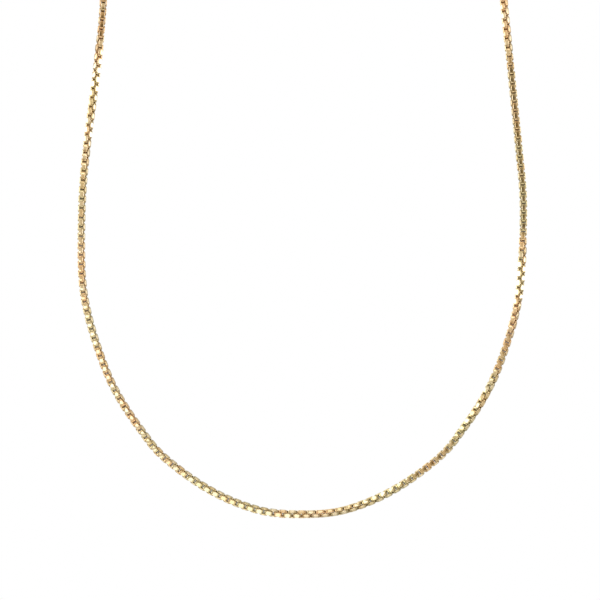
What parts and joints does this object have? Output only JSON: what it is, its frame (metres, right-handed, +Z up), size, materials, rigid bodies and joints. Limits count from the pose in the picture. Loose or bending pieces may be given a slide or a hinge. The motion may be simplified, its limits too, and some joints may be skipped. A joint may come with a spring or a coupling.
{
  "type": "box chain necklace",
  "caption": "Fine box chain for the neck: square interlocking links in a closed loop, joined at the nape by a plain ring clasp.",
  "frame": {"origin": "middle of the clasp at the nape, where the loop hangs on the back of the neck", "axes": "+Z up; -Y towards the front of the wearer, where the loop hangs lowest; +X to the right as seen from the front"},
  "size_m": [0.1034, 0.0629, 0.1553],
  "materials": {
    "chain_gold": "polished yellow gold",
    "clasp_gold": "polished pale yellow gold"
  },
  "bodies": {
    "root": {"chain": "chain_gold", "end_link_left": "chain_gold", "end_link_right": "chain_gold", "jump_ring": "clasp_gold", "catch_ring": "clasp_gold", "clasp": "clasp_gold"}
  },
  "joints": []
}
